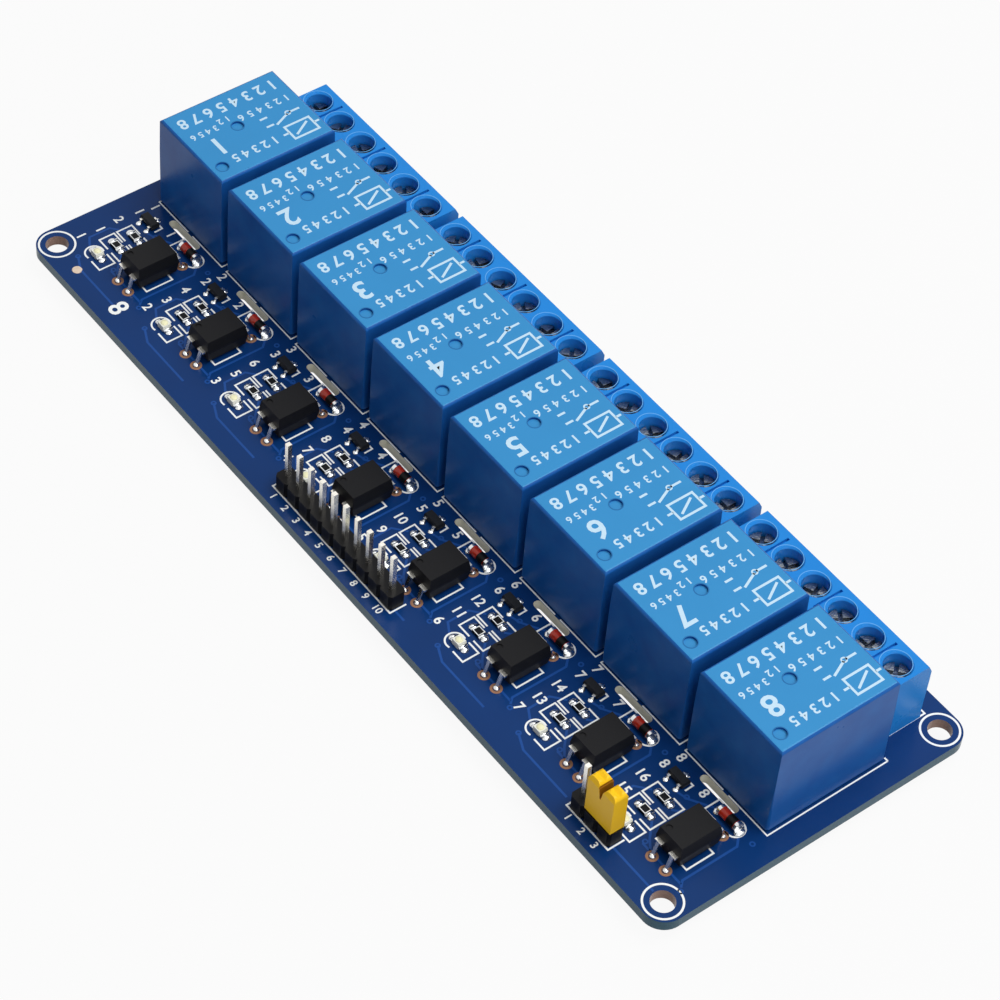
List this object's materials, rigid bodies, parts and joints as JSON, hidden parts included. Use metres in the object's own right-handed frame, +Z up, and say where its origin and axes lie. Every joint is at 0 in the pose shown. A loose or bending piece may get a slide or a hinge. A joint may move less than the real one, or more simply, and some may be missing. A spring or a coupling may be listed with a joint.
{
  "type": "relay module board",
  "caption": "Long blue circuit board with a row of cube relays, a row of screw terminal blocks, an optocoupler input stage, a pin header and a jumpered power header.",
  "frame": {"origin": "centre of the rectangle of four mounting holes, on the underside of the circuit board", "axes": "+X along the board from relay 1 to relay 8, +Y across the board towards the screw terminals, +Z up out of the component side"},
  "size_m": [0.1386, 0.0502, 0.0189],
  "materials": {
    "solder_mask_board": "semi-gloss blue solder mask on glass-fibre laminate",
    "relay_cover_blue": "glossy translucent-looking blue moulding",
    "relay_iron": "plated soft iron",
    "relay_base_plastic": "moulded base",
    "bobbin_plastic": "moulded spool",
    "copper_winding": "enamelled copper wire",
    "contact_strip": "tinned brass strip",
    "terminal_blue": "glossy blue moulding",
    "plated_steel": "zinc-plated steel",
    "tinned_brass": "tinned",
    "epoxy_black": "moulded epoxy",
    "resistor_ceramic": "glazed alumina chip with plated ends",
    "led_white": "clear and white",
    "diode_glass": "tinted glass",
    "diode_metal": "plated ends",
    "header_plastic": "black moulding",
    "jumper_yellow": "yellow moulding",
    "jumper_bronze": "phosphor bronze",
    "solder": "bright solder"
  },
  "bodies": {
    "board": {"circuit_board": "solder_mask_board", "relay_cover_1": "relay_cover_blue", "relay_cover_2": "relay_cover_blue", "relay_cover_3": "relay_cover_blue", "relay_cover_4": "relay_cover_blue", "relay_cover_5": "relay_cover_blue", "relay_cover_6": "relay_cover_blue", "relay_cover_7": "relay_cover_blue", "relay_cover_8": "relay_cover_blue", "relay_bases": "relay_base_plastic", "relay_yokes": "relay_iron", "relay_cores": "relay_iron", "relay_bobbins": "bobbin_plastic", "relay_coils": "copper_winding", "relay_common_terminals": "contact_strip", "relay_open_terminals": "contact_strip", "relay_closed_terminals": "contact_strip", "relay_coil_pins": "contact_strip", "terminal_block_1": "terminal_blue", "terminal_block_2": "terminal_blue", "terminal_block_3": "terminal_blue", "terminal_block_4": "terminal_blue", "terminal_block_5": "terminal_blue", "terminal_block_6": "terminal_blue", "terminal_block_7": "terminal_blue", "terminal_block_8": "terminal_blue", "terminal_block_9": "terminal_blue", "terminal_block_10": "terminal_blue", "terminal_block_11": "terminal_blue", "terminal_block_12": "terminal_blue", "terminal_screws": "plated_steel", "terminal_cages": "plated_steel", "terminal_pins": "tinned_brass", "optocouplers": "epoxy_black", "optocoupler_leads": "tinned_brass", "chip_resistors": "resistor_ceramic", "leds": "led_white", "transistors": "epoxy_black", "transistor_leads": "tinned_brass", "diodes": "diode_glass", "diode_caps": "diode_metal", "header_10_strip": "header_plastic", "header_10_pins": "tinned_brass", "header_3_strip": "header_plastic", "header_3_pins": "tinned_brass", "solder_joints": "solder"},
    "armature_1": {"relay_armature_1": "relay_iron"},
    "armature_2": {"relay_armature_2": "relay_iron"},
    "armature_3": {"relay_armature_3": "relay_iron"},
    "armature_4": {"relay_armature_4": "relay_iron"},
    "armature_5": {"relay_armature_5": "relay_iron"},
    "armature_6": {"relay_armature_6": "relay_iron"},
    "armature_7": {"relay_armature_7": "relay_iron"},
    "armature_8": {"relay_armature_8": "relay_iron"},
    "jumper": {"jumper_cap": "jumper_yellow", "jumper_clip": "jumper_bronze"}
  },
  "joints": [
    {"name": "armature_1_hinge", "type": "hinge", "parent": "board", "child": "armature_1", "pos_m": [-0.0581, -0.0033, 0.01255], "axis": [-1, 0, 0], "range_deg": [0, 2.5], "stiffness_Nm_per_rad": 0.0008, "springref_deg": -20.05},
    {"name": "armature_2_hinge", "type": "hinge", "parent": "board", "child": "armature_2", "pos_m": [-0.0415, -0.0033, 0.01255], "axis": [-1, 0, 0], "range_deg": [0, 2.5], "stiffness_Nm_per_rad": 0.0008, "springref_deg": -20.05},
    {"name": "armature_3_hinge", "type": "hinge", "parent": "board", "child": "armature_3", "pos_m": [-0.0249, -0.0033, 0.01255], "axis": [-1, 0, 0], "range_deg": [0, 2.5], "stiffness_Nm_per_rad": 0.0008, "springref_deg": -20.05},
    {"name": "armature_4_hinge", "type": "hinge", "parent": "board", "child": "armature_4", "pos_m": [-0.0083, -0.0033, 0.01255], "axis": [-1, 0, 0], "range_deg": [0, 2.5], "stiffness_Nm_per_rad": 0.0008, "springref_deg": -20.05},
    {"name": "armature_5_hinge", "type": "hinge", "parent": "board", "child": "armature_5", "pos_m": [0.0083, -0.0033, 0.01255], "axis": [-1, 0, 0], "range_deg": [0, 2.5], "stiffness_Nm_per_rad": 0.0008, "springref_deg": -20.05},
    {"name": "armature_6_hinge", "type": "hinge", "parent": "board", "child": "armature_6", "pos_m": [0.0249, -0.0033, 0.01255], "axis": [-1, 0, 0], "range_deg": [0, 2.5], "stiffness_Nm_per_rad": 0.0008, "springref_deg": -20.05},
    {"name": "armature_7_hinge", "type": "hinge", "parent": "board", "child": "armature_7", "pos_m": [0.0415, -0.0033, 0.01255], "axis": [-1, 0, 0], "range_deg": [0, 2.5], "stiffness_Nm_per_rad": 0.0008, "springref_deg": -20.05},
    {"name": "armature_8_hinge", "type": "hinge", "parent": "board", "child": "armature_8", "pos_m": [0.0581, -0.0033, 0.01255], "axis": [-1, 0, 0], "range_deg": [0, 2.5], "stiffness_Nm_per_rad": 0.0008, "springref_deg": -20.05},
    {"name": "jumper_slide", "type": "slide", "parent": "board", "child": "jumper", "axis": [0, 0, 1], "range_m": [0, 0.0065]}
  ]
}
